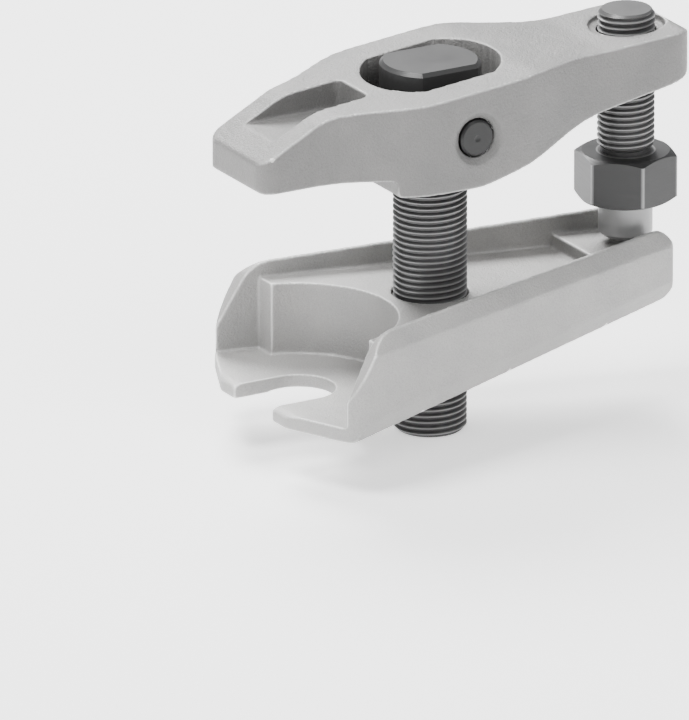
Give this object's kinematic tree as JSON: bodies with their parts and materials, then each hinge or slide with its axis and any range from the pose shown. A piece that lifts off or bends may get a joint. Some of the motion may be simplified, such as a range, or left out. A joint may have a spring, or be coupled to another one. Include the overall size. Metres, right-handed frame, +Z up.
{
  "type": "ball joint separator",
  "caption": "Two-lever ball joint separator: a fork goes under the joint's eye and a screw-driven rocking lever presses the ball stud out.",
  "frame": {"origin": "on the ball stud's axis, in the plane of the fork's bearing faces", "axes": "+X to the rear, towards the jack screw; +Y across the tool; +Z up along the centre spindle, from the fork to the lever"},
  "size_m": [0.1205, 0.0682, 0.0971],
  "materials": {
    "forged_fork": "satin blasted forging",
    "forged_lever": "satin blasted forging",
    "dark_steel": "oiled black oxide",
    "screw_steel": "oiled black oxide, worn bright on its edges",
    "bright_steel": "polished hardened steel"
  },
  "bodies": {
    "fork_body": {"fork": "forged_fork"},
    "spindle_body": {"centre_spindle": "dark_steel", "cross_pin": "dark_steel"},
    "lever_body": {"upper_lever": "forged_lever"},
    "ball_body": {"thrust_ball": "bright_steel"},
    "screw_body": {"jack_screw": "screw_steel"}
  },
  "joints": [
    {"name": "spindle_adjust", "type": "slide", "parent": "fork_body", "child": "spindle_body", "axis": [0, 0, 1], "range_m": [0, 0.01]},
    {"name": "lever_rock", "type": "hinge", "parent": "spindle_body", "child": "lever_body", "pos_m": [0.0365, 0, 0.0633], "axis": [0, -1, 0], "range_deg": [-11.4, 6.6]},
    {"name": "jack_travel", "type": "slide", "parent": "lever_body", "child": "ball_body", "axis": [0, 0, -1], "range_m": [-0.0106, 0.0061]},
    {"name": "jack_turn", "type": "hinge", "parent": "ball_body", "child": "screw_body", "pos_m": [0.091, 0, 0.0258], "axis": [0, 0, -1], "range_deg": [-2520, 1440]}
  ],
  "couplings": [
    {"joint": "jack_travel", "follows": "jack_turn", "m_per_rad": 0.00023873},
    {"joint": "lever_rock", "follows": "jack_turn", "ratio": 0.0043804}
  ]
}
